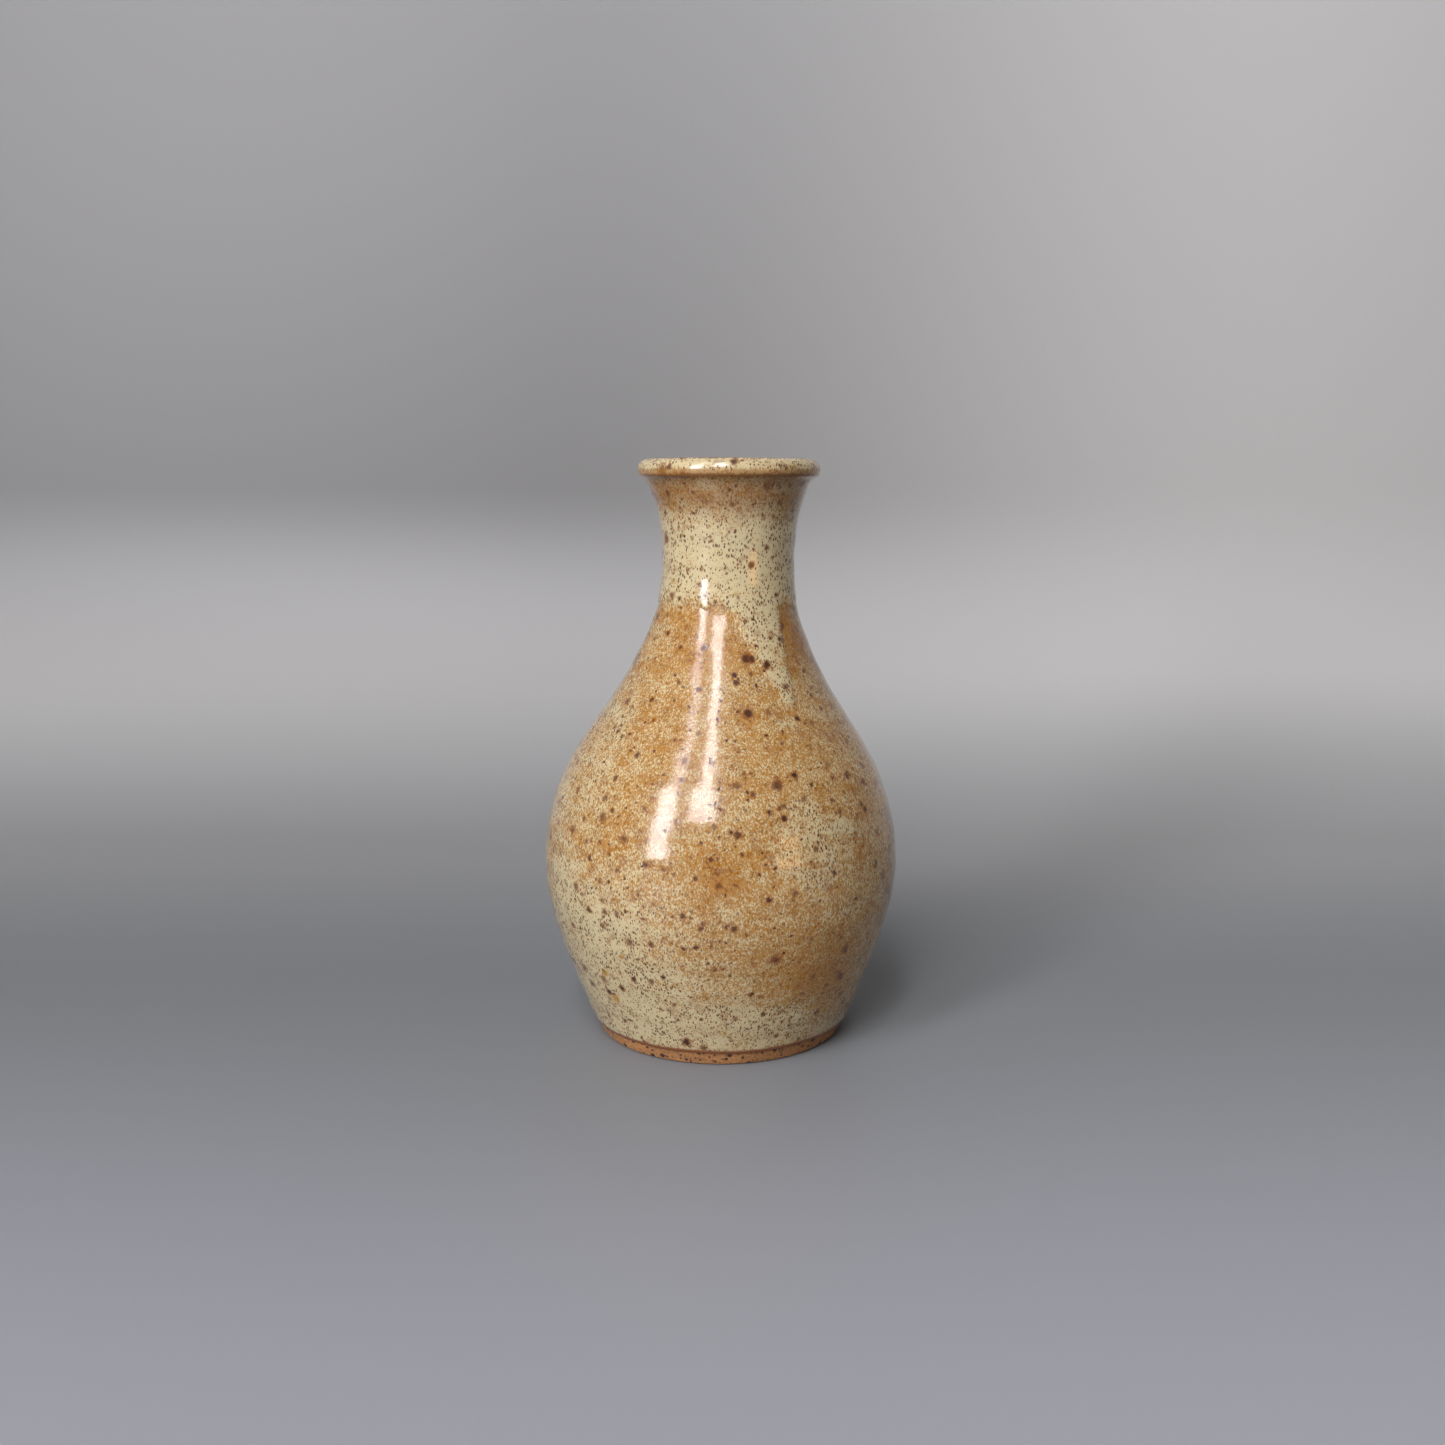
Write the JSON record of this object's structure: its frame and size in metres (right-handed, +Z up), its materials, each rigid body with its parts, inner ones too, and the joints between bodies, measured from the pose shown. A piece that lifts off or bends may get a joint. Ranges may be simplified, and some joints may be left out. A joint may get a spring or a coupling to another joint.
{
  "type": "bud vase",
  "caption": "Small wheel-thrown stoneware bottle vase with a round belly, a narrow leaning neck, a rolled lip and a bare clay foot, glazed inside and out.",
  "frame": {"origin": "centre of the foot ring, on the surface that the vase stands on", "axes": "+Z up through the mouth; +X towards the side that the neck leans to; -Y is the face with the diagonal run of cream glaze"},
  "size_m": [0.093, 0.093, 0.15],
  "materials": {
    "stoneware": "matte",
    "oatmeal_glaze": "gloss",
    "cream_glaze": "gloss",
    "liner_glaze": "gloss"
  },
  "bodies": {
    "root": {"stoneware_body": "stoneware", "first_coat_glaze": "oatmeal_glaze", "neck_dip_glaze": "cream_glaze", "liner_glaze": "liner_glaze"}
  },
  "joints": []
}
